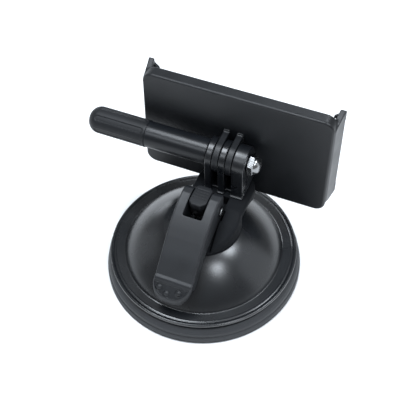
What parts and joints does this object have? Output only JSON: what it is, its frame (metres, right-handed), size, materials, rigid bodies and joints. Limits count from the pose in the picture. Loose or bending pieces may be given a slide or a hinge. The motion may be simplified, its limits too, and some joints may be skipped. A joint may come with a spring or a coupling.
{
  "type": "suction cup device mount",
  "caption": "Black suction-cup mount for a dashboard or windscreen: domed base with a cam lever, pronged hinge with a long thumb-screw handle, and a shallow tilting snap-in cradle.",
  "frame": {"origin": "centre of the suction cup on the flat surface that it sticks to", "axes": "+Z away from that surface, through the cup's centre; +X along the hinge bolt towards the acorn nut; -Y towards the tip of the cam lever"},
  "size_m": [0.1108, 0.09, 0.083],
  "materials": {
    "rubber_black": "dull black rubber",
    "rubber_soft": "soft matt black rubber",
    "gloss_black": "glossy black moulded plastic",
    "satin_black": "satin black moulded plastic",
    "cradle_black": "satin black moulded plastic with a fine grain",
    "lever_black": "satin black moulded plastic",
    "handle_black": "semi-gloss black moulded plastic",
    "bright_steel": "bright nickel plate",
    "zinc_steel": "zinc plated steel"
  },
  "bodies": {
    "base": {"cup_skirt": "rubber_black", "cup_diaphragm": "rubber_soft", "clamp_ring": "satin_black", "dome_cover": "gloss_black", "cover_screw_1": "zinc_steel", "cover_screw_2": "zinc_steel", "cover_screw_3": "zinc_steel", "cover_screw_4": "zinc_steel", "hub_housing": "satin_black", "prong_block": "satin_black", "block_screw_1": "zinc_steel", "block_screw_2": "zinc_steel", "acorn_nut": "bright_steel", "return_spring": "zinc_steel"},
    "plunger": {"plunger_plate": "satin_black", "plunger_stud": "zinc_steel"},
    "lever": {"cam_lever": "lever_black", "lever_pin": "bright_steel", "pin_cap_left": "bright_steel", "pin_cap_right": "bright_steel", "button_spring": "zinc_steel"},
    "button": {"lock_button": "lever_black"},
    "clamp": {"clamp_bolt": "zinc_steel", "thumb_handle": "handle_black"},
    "cradle": {"cradle_bracket": "cradle_black", "cradle_shell": "cradle_black", "bracket_screw_1": "zinc_steel", "bracket_screw_2": "zinc_steel", "bracket_screw_3": "zinc_steel", "bracket_screw_4": "zinc_steel", "pad_lower": "rubber_soft", "pad_upper": "rubber_soft"}
  },
  "joints": [
    {"name": "plunger_slide", "type": "slide", "parent": "base", "child": "plunger", "axis": [0, 0, -1], "range_m": [0, 0.0026], "deforming": ["return_spring", "cup_diaphragm"]},
    {"name": "lever_open", "type": "hinge", "parent": "plunger", "child": "lever", "pos_m": [0, 0, 0.0411], "axis": [-1, 0, 0], "range_deg": [0, 80]},
    {"name": "button_slide", "type": "slide", "parent": "lever", "child": "button", "axis": [0, -1, 0], "range_m": [0, 0.003], "stiffness_N_per_m": 300, "springref_m": -0.001, "deforming": ["button_spring"]},
    {"name": "handle_spin", "type": "hinge", "parent": "base", "child": "clamp", "pos_m": [0, 0.0185, 0.0552], "axis": [1, 0, 0], "continuous": true},
    {"name": "cradle_tilt", "type": "hinge", "parent": "base", "child": "cradle", "pos_m": [0, 0.0185, 0.0552], "axis": [1, 0, 0], "range_deg": [0, 90]}
  ],
  "couplings": [
    {"joint": "lever_open", "follows": "plunger_slide", "rad_per_m": 537}
  ]
}
